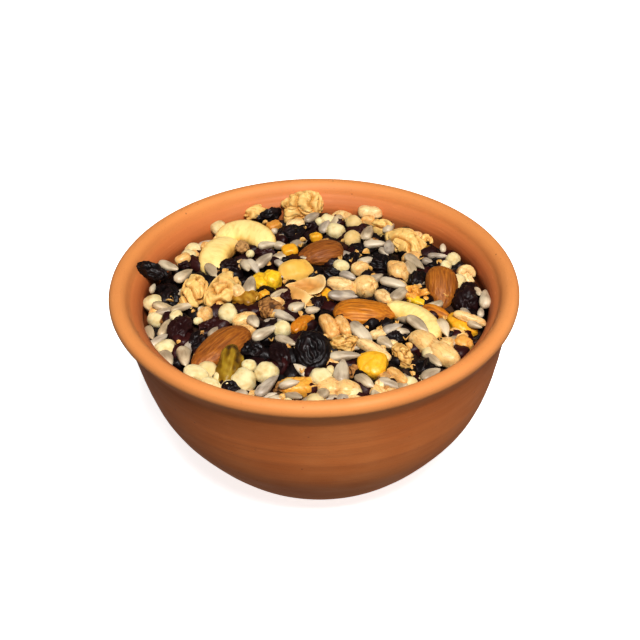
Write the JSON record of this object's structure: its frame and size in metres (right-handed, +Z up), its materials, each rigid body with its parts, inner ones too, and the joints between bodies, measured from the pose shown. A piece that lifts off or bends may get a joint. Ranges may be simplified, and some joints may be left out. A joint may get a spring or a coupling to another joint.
{
  "type": "bowl of granola",
  "caption": "Turned terracotta bowl with a rolled rim, filled with granola of oats, seeds, nuts, raisins, dried fruit and puffed cereal.",
  "frame": {"origin": "on the table under the middle of the rim; the foot's middle is 1.7 mm to the right of it", "axes": "+Z up; +Y away from the camera of the picture, +X to its right"},
  "size_m": [0.14, 0.14, 0.0733],
  "materials": {
    "terracotta": "unglazed, smooth turned terracotta, matte with a soft sheen",
    "cereal_mix": "toasted oats, puffed cereal and seeds, dry and matte",
    "almond": "ridged brown skin, matte",
    "walnut": "folded pale kernel, dry with a soft sheen",
    "banana": "dried banana, pale yellow, dry",
    "dried_apple": "curled dried fruit, dry",
    "dried_fruit": "candied fruit, slightly glossy",
    "pale_raisin": "wrinkled golden raisin, slightly glossy",
    "raisin": "wrinkled dark raisin, slightly glossy",
    "peanut": "smooth shelled nut, dry with a soft sheen"
  },
  "bodies": {
    "root": {"bowl": "terracotta", "granola": "cereal_mix", "almond_front": "almond", "almond_back": "almond", "almond_right": "almond", "almond_left": "almond", "almond_sliver": "almond", "walnut_back": "walnut", "walnut_left": "walnut", "walnut_middle": "walnut", "walnut_right": "walnut", "walnut_far": "walnut", "walnut_crumb": "walnut", "walnut_small": "walnut", "banana_back": "banana", "banana_left": "banana", "banana_right": "banana", "apple_curl": "dried_apple", "dried_chip": "dried_apple", "fruit_yellow": "dried_fruit", "fruit_round": "dried_fruit", "fruit_side": "dried_fruit", "fruit_pale": "dried_fruit", "fruit_front": "dried_fruit", "apricot_strip": "dried_fruit", "golden_raisin": "pale_raisin", "olive_raisin": "pale_raisin", "raisin_wall": "raisin", "raisin_big": "raisin", "raisin_left": "raisin", "raisin_shade": "raisin", "raisin_under": "raisin", "raisin_far": "raisin", "raisin_strip": "raisin", "raisin_flat": "raisin", "raisin_mid": "raisin", "raisin_right": "raisin", "raisin_rim": "raisin", "raisin_front": "raisin", "raisin_deep": "raisin", "raisin_edge": "raisin", "prune": "raisin", "chickpea": "peanut", "peanut_round": "peanut", "peanut_double": "peanut", "peanut_front": "peanut"}
  },
  "joints": []
}
